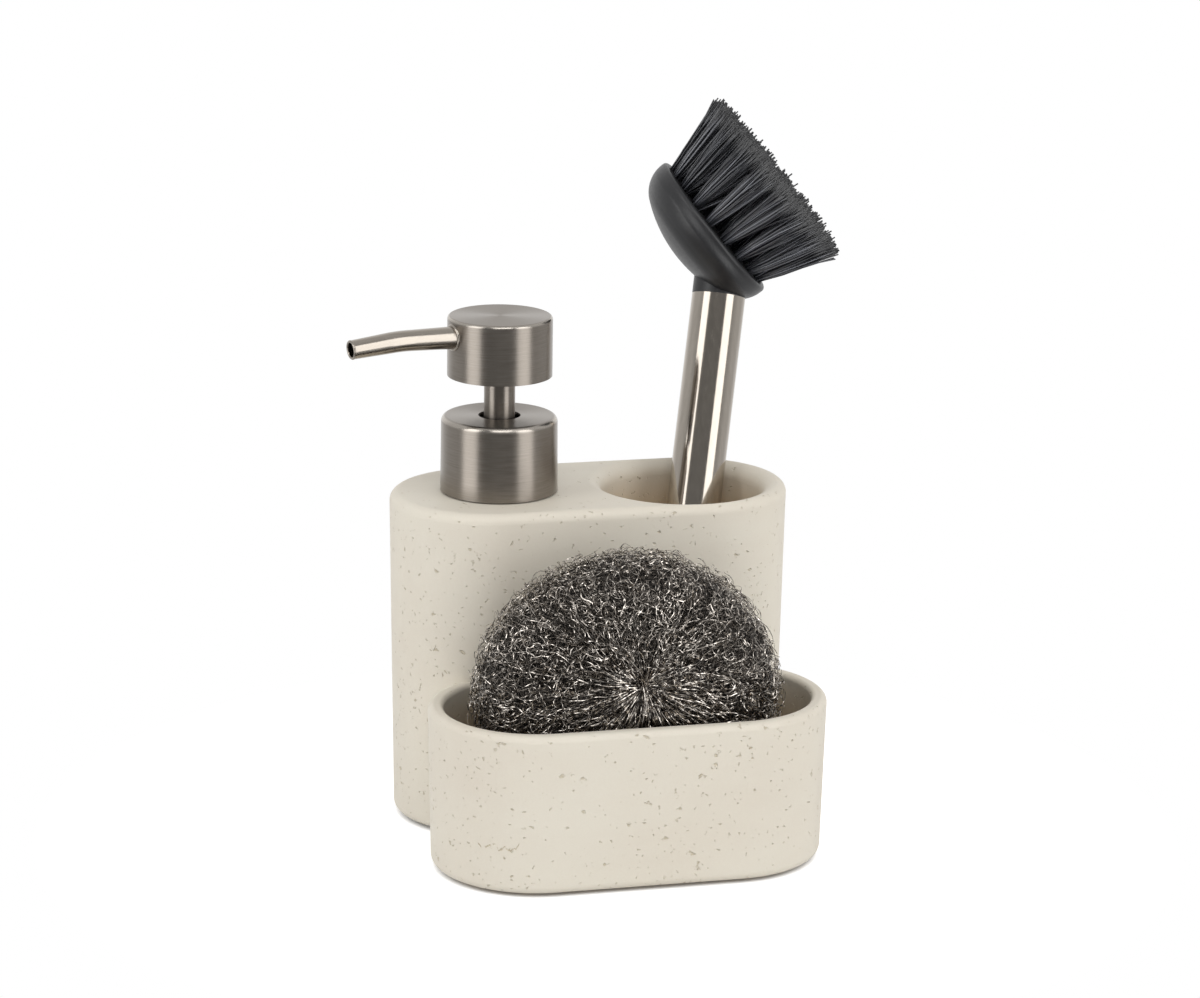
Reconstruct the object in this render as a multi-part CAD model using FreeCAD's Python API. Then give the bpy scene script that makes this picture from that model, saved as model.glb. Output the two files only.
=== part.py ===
import FreeCAD, Part
import math
import os

# Soap pump caddy: a stone-look casting with a soap reservoir, a well for a dish brush and a low
# trough for a scourer, with a screw-in lotion pump. Millimetres, +Z up, front towards -Y.
# Origin: centre of the rear block's footprint, on the surface that the caddy stands on.

# Shared values
overrun = 2.0
rest_gap = 0.3
face_gap = 0.05
press_gap = 0.02
running_gap = 0.06

# Base pad
pad_thickness = 1.0
pad_margin = 3.0

# Rear block of the casting
block_length = 120.0
block_depth = 58.0
block_height = 98.4
block_base_inset = 1.44
block_top_round = 3.0
base_round = 2.5
base_thickness = 6.0

# Front trough of the casting
trough_length = 117.5
trough_depth = 62.0
trough_height = 47.6
trough_forward = 50.2
trough_base_inset = 1.08
trough_wall = 4.6
trough_outer_round = 2.0
trough_inner_round = 1.5
trough_floor_round = 5.0

# Brush well
well_radius = 24.0
well_end_wall = 7.3
well_lip_round = 4.5
well_floor_round = 4.0

# Soap reservoir
reservoir_wall = 5.0
reservoir_roof = 11.0
reservoir_floor_round = 4.0

# Threaded neck
pump_end_reach = 32.5
neck_radius = 12.0
neck_wall = 1.6
neck_height = 13.0
neck_flange_radius = 15.4
neck_flange_thickness = 1.2
neck_plug_radius = 13.0
neck_glue_gap = 0.1
thread_pitch = 3.0
thread_depth = 1.2
thread_root_width = 1.4
thread_crest_width = 0.7
thread_sink = 0.3
thread_gap = 0.3
neck_thread_turns = 2.0
neck_thread_rise = 2.5
closure_thread_turns = 1.5

# Collar
collar_foot_radius = 17.4
collar_top_radius = 17.2
collar_height = 22.8
collar_wall = 0.7
collar_top_round = 1.7
collar_hole_radius = 6.25
collar_lift = 0.4
closure_roof = 1.3
closure_hole_radius = 8.9

# Gasket and pump housing
gasket_thickness = 1.0
housing_flange_radius = 11.8
housing_flange_thickness = 1.2
housing_wall = 1.4
bore_radius = 5.2
cap_radius = 8.6
cap_height = 5.2
cap_spigot = 2.0
cap_edge_round = 0.6

# Inlet valve
ball_radius = 2.4
ball_chamber_radius = 2.9
ball_lift = 1.2
valve_hole_radius = 1.5
valve_web = 1.4
retainer_flange_radius = 4.6
retainer_flange_thickness = 0.8
retainer_spigot = 1.2
retainer_bore_radius = 1.5

# Dip tube and its socket
dip_tube_radius = 3.0
dip_tube_wall = 0.6
dip_socket_depth = 9.0
dip_socket_wall = 1.2
dip_floor_gap = 5.0
dip_cut_rise = 3.0

# Piston, stem and sleeve
press_travel = 11.0
piston_length = 6.0
piston_groove = 0.5
stem_radius = 4.2
stem_tail_radius = 2.6
stem_bore_radius = 1.7
sleeve_radius = 4.6
sleeve_wall = 0.36
sleeve_entry = 1.5
stem_entry = 9.0

# Return spring
spring_radius = 3.7
spring_wire_radius = 0.4
spring_turns = 8
spring_end_gap = 0.1
spring_reserve = 2.8

# Pump head
head_radius = 15.5
head_height = 17.85
head_wall = 0.7
head_top_round = 1.0
head_stop_gap = 1.25
insert_recess = 0.4

# Spout
spout_azimuth = 194.0
spout_drop = 5.3
spout_root_radius = 3.45
spout_bend_radius = 3.08
spout_tip_radius = 2.8
spout_wall = 0.6
spout_inner_reach = 9.0
spout_bend_reach = 32.5
spout_tip_reach = 47.95
spout_rise_angle = 2.1
spout_fall_angle = 4.2
spout_curve_radius = 60.0
spout_hole_gap = 0.1

# Dish brush handle
handle_radius = 8.15
handle_wall = 0.8
handle_length = 147.6
handle_azimuth = 57.7
handle_cap_height = 4.0
handle_cap_round = 2.5
handle_cap_spigot = 10.0

# Dish brush head
head_turn = -87.0
head_tilt = 46.6
face_rise = 24.9
face_setback = 4.9
brush_radius = 24.5
brush_thickness = 15.2
brush_rim_height = 1.8
brush_edge_round = 10.2
brush_face_round = 1.2
brush_neck_length = 8.0
brush_spigot = 25.0

# Bristles
tuft_ring_count = 3
tufts_per_ring_step = 6
tuft_ring_radius = 20.5
tuft_splay_radius = 26.0
tuft_length = 24.2
tuft_root_radius = 1.5
tuft_tip_radius = 3.9
tuft_hole_depth = 5.0
tuft_hole_gap = 0.05
anchor_height = 1.4
anchor_width = 2.4
anchor_thickness = 0.35

# Scourer
scourer_end_gap = 8.3
scourer_side_gap = 1.8
scourer_half_height = 43.1
scourer_x = -1.4
scourer_dimple_shares = (0.0, 0.76), (0.07, 0.8), (0.15, 0.91)
scourer_face_shares = (0.15, 0.91), (0.45, 1.0), (0.78, 0.8)
scourer_rim_shares = (0.78, 0.8), (1.0, 0.0), (0.78, -0.8)

# Levels and places that several pieces share
casting_z = pad_thickness
top_z = casting_z + block_height
floor_z = casting_z + base_thickness
trough_z = casting_z + trough_height
neck_lip_z = top_z + neck_height
flange_z = neck_lip_z + face_gap + gasket_thickness
cap_z = flange_z + housing_flange_thickness
collar_top_z = top_z + collar_height
piston_top_z = cap_z - cap_spigot - running_gap
piston_z = piston_top_z - piston_length
spring_solid_length = (spring_turns + 1) * 2 * spring_wire_radius
spring_seat_z = piston_z - press_travel - spring_solid_length - spring_reserve
shoulder_z = spring_seat_z - retainer_flange_thickness
ball_z = shoulder_z - retainer_spigot - ball_lift - ball_radius
seat_z = ball_z + ball_chamber_radius - math.sqrt(2) * (ball_radius + face_gap)
valve_z = seat_z - ball_chamber_radius + valve_hole_radius
socket_top_z = valve_z - valve_web
socket_z = socket_top_z - dip_socket_depth
head_z = collar_top_z + head_stop_gap + press_travel
head_top_z = head_z + head_height
neck_bore_radius = neck_radius - neck_wall
housing_radius = bore_radius + housing_wall
well_x = block_length / 2 - well_end_wall - well_radius
pump_x = pump_end_reach - block_length / 2

up = FreeCAD.Vector(0, 0, 1)
pump_axis = FreeCAD.Vector(pump_x, 0, 0)


def vec(x, y, z):
    return FreeCAD.Vector(x, y, z)


def stadium(length, depth, x, y, z):
    """Wire of a stadium outline, long along X."""
    radius = depth / 2
    half = length / 2 - radius
    corners = [vec(x + sx * half, y + sy * radius, z) for sx, sy in ((-1, -1), (1, -1), (1, 1), (-1, 1))]
    right = vec(x + half + radius, y, z)
    left = vec(x - half - radius, y, z)
    edges = [
        Part.LineSegment(corners[0], corners[1]).toShape(),
        Part.Arc(corners[1], right, corners[2]).toShape(),
        Part.LineSegment(corners[2], corners[3]).toShape(),
        Part.Arc(corners[3], left, corners[0]).toShape(),
    ]
    return Part.Wire(edges)


def stadium_block(length, depth, inset, y, low, high):
    """Solid between two stadium outlines: full size at the top, drawn in all round at the foot."""
    foot = stadium(length - 2 * inset, depth - 2 * inset, 0, y, low)
    head = stadium(length, depth, 0, y, high)
    return Part.makeLoft([foot, head], True, True)


def edges_at(shape, z):
    """Edges that lie wholly in the level plane at z."""
    near = face_gap
    return [e for e in shape.Edges if abs(e.BoundBox.ZMin - z) < near and abs(e.BoundBox.ZMax - z) < near]


def revolve(profile, base=None):
    """Solid of revolution about Z from (radius, height) points; a middle point in a triple makes an arc."""
    edges = []
    last = vec(profile[0][0], 0, profile[0][1])
    first = last
    for step in profile[1:]:
        if len(step) == 4:
            end = vec(step[2], 0, step[3])
            edges.append(Part.Arc(last, vec(step[0], 0, step[1]), end).toShape())
        else:
            end = vec(step[0], 0, step[1])
            edges.append(Part.LineSegment(last, end).toShape())
        last = end
    edges.append(Part.LineSegment(last, first).toShape())
    solid = Part.Face(Part.Wire(edges)).revolve(vec(0, 0, 0), up, 360)
    if base is not None:
        solid.translate(base)
    return solid


def quarter(radius, centre_r, centre_z, side_r, side_z):
    """Middle point of a quarter round about a centre, on the given side of it."""
    reach = radius * math.sqrt(0.5)
    return centre_r + side_r * reach, centre_z + side_z * reach


def tube(outer, inner, low, high, base=None):
    """Plain round tube about Z."""
    return revolve([(inner, low), (outer, low), (outer, high), (inner, high)], base)


def export(shape, name):
    """One file for each node."""
    shape.exportStep("parts/" + name + ".step")


def make_block():
    block = stadium_block(block_length, block_depth, block_base_inset, 0, casting_z, top_z)
    block = block.makeFillet(base_round, edges_at(block, casting_z))
    return block.makeFillet(block_top_round, edges_at(block, top_z))


def make_tray():
    outer = stadium_block(trough_length, trough_depth, trough_base_inset,
                          -trough_forward, casting_z, trough_z)
    outer = outer.makeFillet(base_round, edges_at(outer, casting_z))
    outer = outer.makeFillet(trough_outer_round, edges_at(outer, trough_z))
    inner_inset = trough_base_inset * (trough_z - floor_z) / trough_height
    inner = stadium_block(trough_length - 2 * trough_wall, trough_depth - 2 * trough_wall, inner_inset,
                          -trough_forward, floor_z, trough_z)
    inner = inner.makeFillet(trough_floor_round, edges_at(inner, floor_z))
    tray = outer.cut(inner)
    reach = trough_depth / 2 - trough_wall + face_gap
    level = [(e, e.BoundBox) for e in edges_at(tray, trough_z)]
    rim = [e for e, box in level if abs(box.YMin + trough_forward) < reach > abs(box.YMax + trough_forward)]
    return tray.makeFillet(trough_inner_round, rim)


def make_reservoir():
    """Room inside the block's wall, closed off from the well by a straight divider."""
    inset = 2 * (block_base_inset + reservoir_wall)
    height = top_z - reservoir_roof - floor_z
    outline = stadium(block_length - inset, block_depth - inset, 0, 0, floor_z)
    divider = well_x - well_radius - reservoir_wall
    corner = vec(-block_length / 2, -block_depth / 2, floor_z)
    soap_side = Part.makeBox(divider - corner.x, block_depth, height, corner)
    room = Part.Face(outline).extrude(up * height).common(soap_side)
    return room.makeFillet(reservoir_floor_round, edges_at(room, floor_z))


def make_well():
    lip_z = top_z - well_lip_round
    lip_r = well_radius + well_lip_round
    foot_r = well_radius - well_floor_round
    foot_z = floor_z + well_floor_round
    profile = [
        (0, floor_z),
        (foot_r, floor_z),
        quarter(well_floor_round, foot_r, foot_z, 1, -1) + (well_radius, foot_z),
        (well_radius, lip_z),
        quarter(well_lip_round, lip_r, lip_z, -1, 1) + (lip_r, top_z),
        (lip_r, top_z + overrun),
        (0, top_z + overrun),
    ]
    return revolve(profile, vec(well_x, 0, 0))


def make_caddy_body():
    """Block and trough in one casting, with reservoir, neck hole and brush well."""
    hole_low = top_z - reservoir_roof - overrun
    hole = Part.makeCylinder(neck_plug_radius + neck_glue_gap, reservoir_roof + 2 * overrun,
                             pump_axis + up * hole_low)
    casting = make_tray().fuse(make_block()).removeSplitter()
    return casting.cut([make_reservoir(), hole, make_well()])


def make_base_pad():
    """Die-cut pad under the flat of the base, in the outline of block and trough."""
    inset = base_round + pad_margin
    block_in = 2 * (block_base_inset + inset)
    trough_in = 2 * (trough_base_inset + inset)
    rear = Part.Face(stadium(block_length - block_in, block_depth - block_in, 0, 0, 0))
    front = Part.Face(stadium(trough_length - trough_in, trough_depth - trough_in, 0, -trough_forward, 0))
    bridge_half = (trough_length - trough_depth) / 2
    corners = [vec(-bridge_half, -trough_forward, 0), vec(bridge_half, -trough_forward, 0),
               vec(bridge_half, 0, 0), vec(-bridge_half, 0, 0)]
    bridge = Part.Face(Part.makePolygon(corners + corners[:1]))
    outline = rear.fuse([front, bridge]).removeSplitter()
    return outline.extrude(up * pad_thickness).Solids[0]


def thread_ridge(root_r, side, start_z, turns):
    """Right-handed ridge on a round wall: side 1 stands outwards, side -1 inwards."""
    sunk = root_r - side * thread_sink
    crest = root_r + side * thread_depth
    root_half = thread_root_width / 2
    crest_half = thread_crest_width / 2
    points = [vec(sunk, 0, -root_half), vec(crest, 0, -crest_half),
              vec(crest, 0, crest_half), vec(sunk, 0, root_half)]
    section = Part.makePolygon(points + points[:1])
    path = Part.Wire(Part.makeHelix(thread_pitch, thread_pitch * turns, root_r).Edges)
    ridge = path.makePipeShell([section], True, True)
    ridge.translate(pump_axis + up * start_z)
    return ridge


def make_neck_insert():
    flange_top = top_z + neck_flange_thickness
    profile = [
        (neck_bore_radius, top_z - reservoir_roof),
        (neck_plug_radius, top_z - reservoir_roof),
        (neck_plug_radius, top_z),
        (neck_flange_radius, top_z),
        (neck_flange_radius, flange_top),
        (neck_radius, flange_top),
        (neck_radius, neck_lip_z),
        (neck_bore_radius, neck_lip_z),
    ]
    ridge = thread_ridge(neck_radius, 1, flange_top + neck_thread_rise, neck_thread_turns)
    return revolve(profile, pump_axis).fuse(ridge)


def make_collar_shell():
    low = top_z + collar_lift
    round_z = collar_top_z - collar_top_round
    round_r = collar_top_radius - collar_top_round
    inner_round = collar_top_round - collar_wall
    profile = [
        (collar_foot_radius - collar_wall, low),
        (collar_foot_radius, low),
        (collar_top_radius, round_z),
        quarter(collar_top_round, round_r, round_z, 1, 1) + (round_r, collar_top_z),
        (collar_hole_radius, collar_top_z),
        (collar_hole_radius, collar_top_z - collar_wall),
        (round_r, collar_top_z - collar_wall),
        quarter(inner_round, round_r, round_z, 1, 1) + (collar_top_radius - collar_wall, round_z),
    ]
    return revolve(profile, pump_axis)


def make_collar_closure():
    low = top_z + neck_flange_thickness + collar_lift
    roof_z = cap_z + face_gap
    outer = collar_top_radius - collar_wall - face_gap
    inner = neck_radius + thread_depth + thread_gap
    profile = [
        (inner, low),
        (outer, low),
        (outer, roof_z + closure_roof),
        (closure_hole_radius, roof_z + closure_roof),
        (closure_hole_radius, roof_z),
        (inner, roof_z),
    ]
    ridge_z = top_z + neck_flange_thickness + neck_thread_rise + thread_pitch / 2
    ridge = thread_ridge(inner, -1, ridge_z, closure_thread_turns)
    return revolve(profile, pump_axis).fuse(ridge)


def make_neck_gasket():
    low = neck_lip_z + face_gap
    return tube(neck_radius, neck_bore_radius, low, flange_z, pump_axis)


def make_pump_housing():
    """Cylinder with a top flange, a coned valve seat and the dip tube socket at its foot."""
    socket_r = dip_tube_radius + press_gap
    socket_outer = dip_tube_radius + dip_socket_wall
    profile = [
        (bore_radius, cap_z),
        (bore_radius, shoulder_z),
        (ball_chamber_radius, shoulder_z),
        (ball_chamber_radius, seat_z),
        (valve_hole_radius, valve_z),
        (valve_hole_radius, socket_top_z),
        (socket_r, socket_top_z),
        (socket_r, socket_z),
        (socket_outer, socket_z),
        (socket_outer, socket_top_z),
        (housing_radius, seat_z),
        (housing_radius, flange_z),
        (housing_flange_radius, flange_z),
        (housing_flange_radius, cap_z),
    ]
    return revolve(profile, pump_axis)


def make_housing_cap():
    """Guide ring on the housing, with a spigot that stops the piston."""
    guide = sleeve_radius + running_gap
    spigot = bore_radius - press_gap
    round_r = cap_radius - cap_edge_round
    round_z = cap_z + cap_height - cap_edge_round
    profile = [
        (guide, cap_z - cap_spigot),
        (spigot, cap_z - cap_spigot),
        (spigot, cap_z),
        (cap_radius, cap_z),
        (cap_radius, round_z),
        quarter(cap_edge_round, round_r, round_z, 1, 1) + (round_r, cap_z + cap_height),
        (guide, cap_z + cap_height),
    ]
    return revolve(profile, pump_axis)


def make_ball_retainer():
    spigot = ball_chamber_radius - press_gap
    profile = [
        (retainer_bore_radius, shoulder_z - retainer_spigot),
        (spigot, shoulder_z - retainer_spigot),
        (spigot, shoulder_z),
        (retainer_flange_radius, shoulder_z),
        (retainer_flange_radius, spring_seat_z),
        (retainer_bore_radius, spring_seat_z),
    ]
    return revolve(profile, pump_axis)


def make_inlet_ball():
    return Part.makeSphere(ball_radius, pump_axis + up * ball_z)


def make_dip_tube():
    """Suction tube, cut slanting at its foot so that it can't seal on the reservoir's floor."""
    low = floor_z + dip_floor_gap
    high = socket_top_z - face_gap
    body = tube(dip_tube_radius, dip_tube_radius - dip_tube_wall, low, high, pump_axis)
    reach = dip_tube_radius + overrun
    slope = dip_cut_rise / (2 * dip_tube_radius)
    mid_z = low + dip_cut_rise / 2
    under = low - overrun
    corners = [vec(-reach, -reach, under), vec(reach, -reach, under),
               vec(reach, -reach, mid_z + slope * reach), vec(-reach, -reach, mid_z - slope * reach)]
    wedge = Part.Face(Part.makePolygon(corners + corners[:1])).extrude(vec(0, 2 * reach, 0))
    wedge.translate(pump_axis)
    return body.cut(wedge)


def helix_point(turn, radius, start_z, pitch):
    angle = 2 * math.pi * turn
    point = vec(radius * math.cos(angle), radius * math.sin(angle), start_z + pitch * turn)
    heading = vec(-radius * math.sin(angle), radius * math.cos(angle), pitch / (2 * math.pi))
    return point, heading.normalize()


def arc_from(start, corner, end):
    """Arc that leaves start towards the corner point and arrives at end from it."""
    middle = (start + end) * 0.5
    half = (middle - start).Length
    rise = corner - middle
    turn = math.atan2(rise.Length, half)
    return Part.Arc(start, middle + rise.normalize() * (half * math.tan(turn / 2)), end).toShape()


def biarc(start, start_heading, end, end_heading):
    """Two tangent arcs between two headings."""
    across = end - start
    both = start_heading + end_heading
    a = 2 * (1 - start_heading.dot(end_heading))
    b = 2 * across.dot(both)
    reach = (math.sqrt(b * b + 4 * a * across.dot(across)) - b) / (2 * a)
    near = start + start_heading * reach
    far = end - end_heading * reach
    join = (near + far) * 0.5
    return [arc_from(start, near, join), arc_from(join, far, end)]


def make_return_spring():
    """Wire spring under the piston, one tube along quarter-turn biarcs."""
    low = spring_seat_z + spring_wire_radius + spring_end_gap
    high = piston_z - spring_wire_radius - spring_end_gap
    pitch = (high - low) / spring_turns
    stations = [helix_point(i / 4, spring_radius, low, pitch) for i in range(4 * spring_turns + 1)]
    edges = []
    for one, two in zip(stations, stations[1:]):
        edges += biarc(one[0], one[1], two[0], two[1])
    path = Part.Wire(edges)
    section = Part.Wire(Part.makeCircle(spring_wire_radius, stations[0][0], stations[0][1]))
    spring = path.makePipeShell([section], True, False)
    spring.translate(pump_axis)
    points = [helix_point(i / 48, spring_radius, low, pitch)[0] for i in range(48 * spring_turns + 1)]
    apart = [(p - q).Length for i, p in enumerate(points) for q in points[i + 24:]]
    print("return_spring least gap to itself", round(min(apart) - 2 * spring_wire_radius, 3))
    return spring


def make_piston():
    """Double-lipped seal with a waist between its lips."""
    outer = bore_radius - running_gap
    inner = stem_tail_radius + press_gap
    waist = outer - piston_groove
    third = piston_length / 3
    profile = [
        (inner, piston_z),
        (outer, piston_z),
        (outer, piston_z + third),
        (waist, piston_z + third),
        (waist, piston_top_z - third),
        (outer, piston_top_z - third),
        (outer, piston_top_z),
        (inner, piston_top_z),
    ]
    return revolve(profile, pump_axis)


def make_piston_stem():
    low = piston_top_z + face_gap
    profile = [
        (stem_bore_radius, piston_z),
        (stem_tail_radius, piston_z),
        (stem_tail_radius, low),
        (stem_radius, low),
        (stem_radius, head_z + stem_entry),
        (stem_bore_radius, head_z + stem_entry),
    ]
    return revolve(profile, pump_axis)


def make_stem_sleeve():
    inner = sleeve_radius - sleeve_wall
    return tube(sleeve_radius, inner, piston_top_z + face_gap, head_z + sleeve_entry, pump_axis)


def spout_stations():
    """Places and headings along the spout's centre line: root, start and end of the bend, tip."""
    out = vec(math.cos(math.radians(spout_azimuth)), math.sin(math.radians(spout_azimuth)), 0)
    rise = math.radians(spout_rise_angle)
    fall = math.radians(spout_fall_angle)
    first = out * math.cos(rise) + up * math.sin(rise)
    second = out * math.cos(fall) - up * math.sin(fall)
    trim = spout_curve_radius * math.tan((rise + fall) / 2)
    wall = pump_axis + up * (head_top_z - spout_drop) + out * head_radius
    root = wall - first * ((head_radius - spout_inner_reach) / math.cos(rise))
    corner = wall + first * ((spout_bend_reach - head_radius) / math.cos(rise))
    tip = corner + second * ((spout_tip_reach - spout_bend_reach) / math.cos(fall))
    bend_in = corner - first * trim
    bend_out = corner + second * trim
    return (root, first), (bend_in, first), (bend_out, second), (tip, second), corner


def frustum(start, end, start_radius, end_radius):
    run = end - start
    return Part.makeCone(start_radius, end_radius, run.Length, start, run)


def spout_solid(thinner, past):
    """Tapered run, bend and tapered run; thinner by a wall and longer at both ends for the bore."""
    root, bend_in, bend_out, tip, corner = spout_stations()
    bend_r = spout_bend_radius - thinner
    first = frustum(root[0] - root[1] * past, bend_in[0], spout_root_radius - thinner, bend_r)
    second = frustum(bend_out[0], tip[0] + tip[1] * past, bend_r, spout_tip_radius - thinner)
    path = Part.Wire(arc_from(bend_in[0], corner, bend_out[0]))
    section = Part.Wire(Part.makeCircle(bend_r, bend_in[0], bend_in[1]))
    bend = path.makePipeShell([section], True, False)
    return first.fuse([bend, second])


def make_spout_tube():
    return spout_solid(0, 0).cut(spout_solid(spout_wall, overrun))


def spout_hole(gap):
    """Round hole along the spout's first run."""
    root, bend_in = spout_stations()[:2]
    return Part.makeCylinder(spout_root_radius + gap, (bend_in[0] - root[0]).Length, root[0], root[1])


def make_head_shell():
    round_z = head_top_z - head_top_round
    round_r = head_radius - head_top_round
    inner_r = head_radius - head_wall
    roof_z = head_top_z - head_wall
    inner_round = head_top_round - head_wall
    inner_round_r = inner_r - inner_round
    inner_round_z = roof_z - inner_round
    profile = [
        (inner_r, head_z),
        (head_radius, head_z),
        (head_radius, round_z),
        quarter(head_top_round, round_r, round_z, 1, 1) + (round_r, head_top_z),
        (0, head_top_z),
        (0, roof_z),
        (inner_round_r, roof_z),
        quarter(inner_round, inner_round_r, inner_round_z, 1, 1) + (inner_r, inner_round_z),
    ]
    return revolve(profile, pump_axis).cut(spout_hole(spout_hole_gap))


def make_actuator_insert():
    """Core of the head: socket for stem and sleeve, and the channel that leads into the spout."""
    outer = head_radius - head_wall - press_gap
    low = head_z + insert_recess
    high = head_top_z - head_wall - face_gap
    entry_z = head_z + sleeve_entry + running_gap
    sleeve_r = sleeve_radius + running_gap
    stem_r = stem_radius + running_gap
    stem_top = head_z + stem_entry + face_gap
    edge = high - head_top_round
    profile = [
        (sleeve_r, low),
        (outer, low),
        (outer, edge),
        (outer - head_top_round, high),
        (0, high),
        (0, stem_top),
        (stem_r, stem_top),
        (stem_r, entry_z),
        (sleeve_r, entry_z),
    ]
    core = revolve(profile, pump_axis)
    root, heading = spout_stations()[0]
    channel_r = spout_root_radius - spout_wall
    channel_end = root + heading * overrun
    channel = Part.makeCylinder(channel_r, spout_inner_reach + overrun, channel_end, heading * -1)
    riser_foot = pump_axis + up * (stem_top - overrun)
    riser = Part.makeCylinder(stem_bore_radius, root.z - riser_foot.z, riser_foot)
    return core.cut([spout_hole(press_gap), channel, riser])


def brush_lean():
    """Lean of the handle, which stands on the well's floor with its foot and its side against the wall."""
    lean = math.atan2(2 * (well_radius - handle_radius), block_height - base_thickness)
    for _ in range(40):
        foot_out = well_radius - rest_gap - handle_radius * math.cos(lean)
        rim_out = well_radius - rest_gap - handle_radius / math.cos(lean)
        foot_rise = floor_z + rest_gap + handle_radius * math.sin(lean)
        lean = math.atan2(foot_out + rim_out, top_z - well_lip_round - foot_rise)
    return lean, foot_out, foot_rise


def brush_placement():
    """Place of the brush, which is modelled upright with its foot at the origin and its head towards +X."""
    lean, foot_out, foot_rise = brush_lean()
    azimuth = math.radians(handle_azimuth)
    foot = vec(well_x - foot_out * math.cos(azimuth), -foot_out * math.sin(azimuth), foot_rise)
    turn = FreeCAD.Rotation(up, handle_azimuth).multiply(FreeCAD.Rotation(vec(0, 1, 0), math.degrees(lean)))
    return FreeCAD.Placement(foot, turn.multiply(FreeCAD.Rotation(up, head_turn)))


def in_well(shape):
    """Upright brush piece set into the well."""
    shape.Placement = brush_placement().multiply(shape.Placement)
    return shape


def on_head(shape):
    """Piece of the brush head, modelled with its face at the origin, set on the upright handle."""
    face_axis = vec(math.sin(math.radians(head_tilt)), 0, math.cos(math.radians(head_tilt)))
    face = up * (handle_length + face_rise) - face_axis * face_setback
    tilt = FreeCAD.Placement(face, FreeCAD.Rotation(vec(0, 1, 0), head_tilt))
    shape.Placement = tilt.multiply(shape.Placement)
    return shape


def make_handle_tube():
    return in_well(tube(handle_radius, handle_radius - handle_wall, handle_cap_height, handle_length))


def make_handle_end_cap():
    spigot = handle_radius - handle_wall - press_gap
    round_r = handle_radius - handle_cap_round
    profile = [
        (0, 0),
        (round_r, 0),
        quarter(handle_cap_round, round_r, handle_cap_round, 1, -1) + (handle_radius, handle_cap_round),
        (handle_radius, handle_cap_height),
        (spigot, handle_cap_height),
        (spigot, handle_cap_height + handle_cap_spigot),
        (0, handle_cap_height + handle_cap_spigot),
    ]
    return in_well(revolve(profile))


def tuft_frames():
    """Place of each tuft on the face: rings of six, twelve and eighteen round one in the middle."""
    frames = []
    splay = math.atan2(tuft_splay_radius - tuft_ring_radius, tuft_length)
    for ring in range(tuft_ring_count + 1):
        share = ring / tuft_ring_count
        count = max(1, tufts_per_ring_step * ring)
        for i in range(count):
            azimuth = FreeCAD.Rotation(up, 360 * i / count)
            lean = azimuth.multiply(FreeCAD.Rotation(vec(0, 1, 0), math.degrees(splay) * share))
            place = azimuth.multVec(vec(tuft_ring_radius * share, 0, 0))
            frames.append(FreeCAD.Placement(place, lean))
    return frames


def brush_disc():
    """Disc of the head, face up at the origin: flat face, upright rim, rolled edge and a shallow crown."""
    rim_z = -brush_rim_height
    crown_height = brush_thickness - brush_rim_height
    edge_r = brush_radius - brush_edge_round
    spread = brush_radius ** 2 - 2 * brush_radius * brush_edge_round + crown_height ** 2
    crown_radius = spread / (2 * (crown_height - brush_edge_round))
    crown_z = crown_radius - brush_thickness
    fall = math.atan2(crown_z - rim_z, edge_r)
    join = (edge_r + brush_edge_round * math.cos(fall), rim_z - brush_edge_round * math.sin(fall))
    edge_mid = (edge_r + brush_edge_round * math.cos(fall / 2), rim_z - brush_edge_round * math.sin(fall / 2))
    half_turn = (math.pi / 2 + fall) / 2
    crown_mid = (crown_radius * math.cos(half_turn), crown_z - crown_radius * math.sin(half_turn))
    face_r = brush_radius - brush_face_round
    profile = [
        (0, 0),
        (face_r, 0),
        quarter(brush_face_round, face_r, -brush_face_round, 1, 1) + (brush_radius, -brush_face_round),
        (brush_radius, rim_z),
        edge_mid + join,
        crown_mid + (0, -brush_thickness),
    ]
    return revolve(profile)


def make_brush_head():
    """Moulded disc, a neck as wide as the handle and a spigot inside it, drilled for the tufts."""
    disc = on_head(brush_disc())
    neck = Part.makeCylinder(handle_radius, brush_neck_length, up * handle_length)
    spigot_r = handle_radius - handle_wall - press_gap
    spigot = Part.makeCylinder(spigot_r, brush_spigot, up * (handle_length - brush_spigot))
    hole_r = tuft_root_radius + tuft_hole_gap
    holes = []
    for frame in tuft_frames():
        hole = Part.makeCylinder(hole_r, tuft_hole_depth + overrun, up * -tuft_hole_depth)
        hole.Placement = frame.multiply(hole.Placement)
        holes.append(on_head(hole))
    return in_well(disc.fuse([neck, spigot]).cut(holes))


def make_bristle_tufts():
    """One flaring solid for each tuft, all cut level at the tips."""
    reach = tuft_splay_radius + tuft_length
    trim = Part.makeBox(2 * reach, 2 * reach, tuft_length, vec(-reach, -reach, tuft_length))
    tufts = []
    for frame in tuft_frames():
        low = anchor_height + face_gap - tuft_hole_depth
        shank = Part.makeCylinder(tuft_root_radius, -low, up * low)
        flare = Part.makeCone(tuft_root_radius, tuft_tip_radius, tuft_length + 2 * overrun)
        tuft = shank.fuse(flare)
        tuft.Placement = frame.multiply(tuft.Placement)
        tufts.append(in_well(on_head(tuft.cut(trim))))
    return Part.makeCompound(tufts)


def make_tuft_anchors():
    """Small plate across the foot of each tuft."""
    plates = []
    for frame in tuft_frames():
        plate = Part.makeBox(anchor_width, anchor_thickness, anchor_height,
                             vec(-anchor_width / 2, -anchor_thickness / 2, -tuft_hole_depth))
        plate.Placement = frame.multiply(plate.Placement)
        plates.append(in_well(on_head(plate)))
    return Part.makeCompound(plates)


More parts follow.
